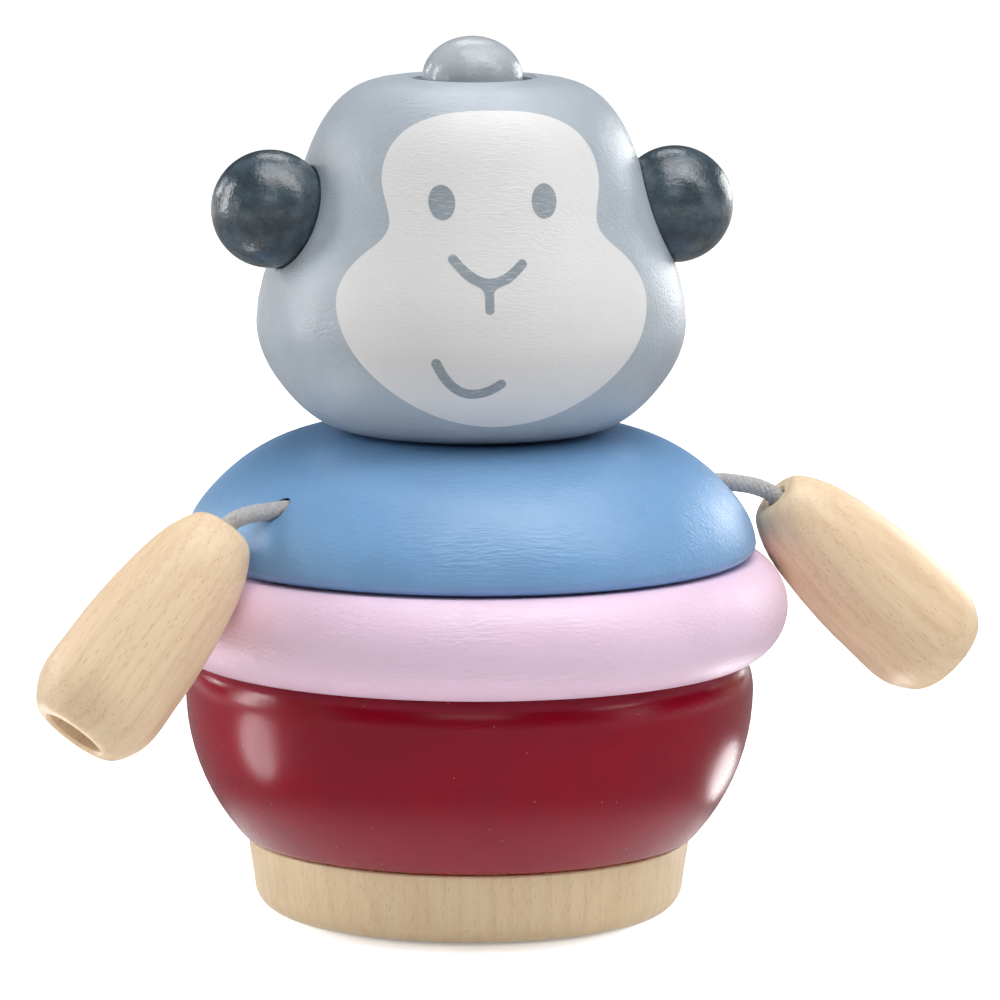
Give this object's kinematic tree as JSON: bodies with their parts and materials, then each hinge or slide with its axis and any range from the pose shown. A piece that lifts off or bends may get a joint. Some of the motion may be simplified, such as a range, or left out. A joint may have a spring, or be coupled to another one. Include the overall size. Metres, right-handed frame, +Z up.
{
  "type": "monkey stacking game",
  "caption": "Wooden monkey stacking toy: a round base with a peg, turned body pieces and a ball-eared head that lift off, and arms that hang on a cord.",
  "frame": {"origin": "middle of the base's flat underside, on the peg's axis", "axes": "+Z up along the peg, -Y the way the face looks, +X towards the viewer's right when the face is seen from in front"},
  "size_m": [0.1662, 0.1092, 0.15],
  "materials": {
    "bare_wood": "pale wood under a thin clear coat",
    "grey_paint": "glossy light grey paint on wood",
    "maroon_paint": "high gloss dark red paint on wood",
    "pink_paint": "satin pink paint on wood",
    "blue_paint": "satin blue paint on wood",
    "pale_blue_paint": "satin pale blue grey paint on wood",
    "slate_paint": "glossy dark slate paint on wood",
    "grey_cord": "twisted grey cotton cord"
  },
  "bodies": {
    "base": {"base_disc": "bare_wood", "peg": "grey_paint"},
    "bowl": {"bowl": "maroon_paint"},
    "ring": {"ring": "pink_paint"},
    "shoulders": {"shoulders": "blue_paint", "cord_middle": "grey_cord"},
    "head": {"head": "pale_blue_paint", "ear_left": "slate_paint", "ear_right": "slate_paint", "ear_dowel_left": "bare_wood", "ear_dowel_right": "bare_wood"},
    "left_swing": {"cord_left": "grey_cord"},
    "left_raise": {"cord_end_left": "grey_cord", "knot_left": "grey_cord"},
    "left_arm": {"arm_left": "bare_wood"},
    "right_swing": {"cord_right": "grey_cord"},
    "right_raise": {"cord_end_right": "grey_cord", "knot_right": "grey_cord"},
    "right_arm": {"arm_right": "bare_wood"}
  },
  "joints": [
    {"name": "bowl_lift", "type": "slide", "parent": "base", "child": "bowl", "axis": [0, 0, 1], "range_m": [0, 0.142]},
    {"name": "ring_lift", "type": "slide", "parent": "bowl", "child": "ring", "axis": [0, 0, 1], "range_m": [0, 0.111]},
    {"name": "shoulders_lift", "type": "slide", "parent": "ring", "child": "shoulders", "axis": [0, 0, 1], "range_m": [0, 0.094]},
    {"name": "head_lift", "type": "slide", "parent": "shoulders", "child": "head", "axis": [0, 0, 1], "range_m": [0, 0.071]},
    {"name": "left_arm_swing", "type": "hinge", "parent": "shoulders", "child": "left_swing", "pos_m": [-0.0355, -0.02552, 0.073], "axis": [-0.8933, -0.4495, 0], "range_deg": [-50, 50], "deforming": ["cord_left"]},
    {"name": "left_arm_raise", "type": "hinge", "parent": "left_swing", "child": "left_raise", "pos_m": [-0.0355, -0.02552, 0.073], "axis": [-0.4495, 0.8933, 0], "range_deg": [0, 100], "deforming": ["cord_left"]},
    {"name": "left_arm_spin", "type": "hinge", "parent": "left_raise", "child": "left_arm", "pos_m": [-0.04443, -0.03001, 0.0707], "axis": [0.6016, 0.3027, 0.7392], "continuous": true},
    {"name": "right_arm_swing", "type": "hinge", "parent": "shoulders", "child": "right_swing", "pos_m": [0.04372, 0.00022, 0.073], "axis": [0.9869, 0.1614, 0], "range_deg": [-50, 50], "deforming": ["cord_right"]},
    {"name": "right_arm_raise", "type": "hinge", "parent": "right_swing", "child": "right_raise", "pos_m": [0.04372, 0.00022, 0.073], "axis": [0.1614, -0.9869, 0], "range_deg": [0, 100], "deforming": ["cord_right"]},
    {"name": "right_arm_spin", "type": "hinge", "parent": "right_raise", "child": "right_arm", "pos_m": [0.05309, 0.00175, 0.07], "axis": [-0.7273, -0.119, 0.6759], "continuous": true}
  ]
}
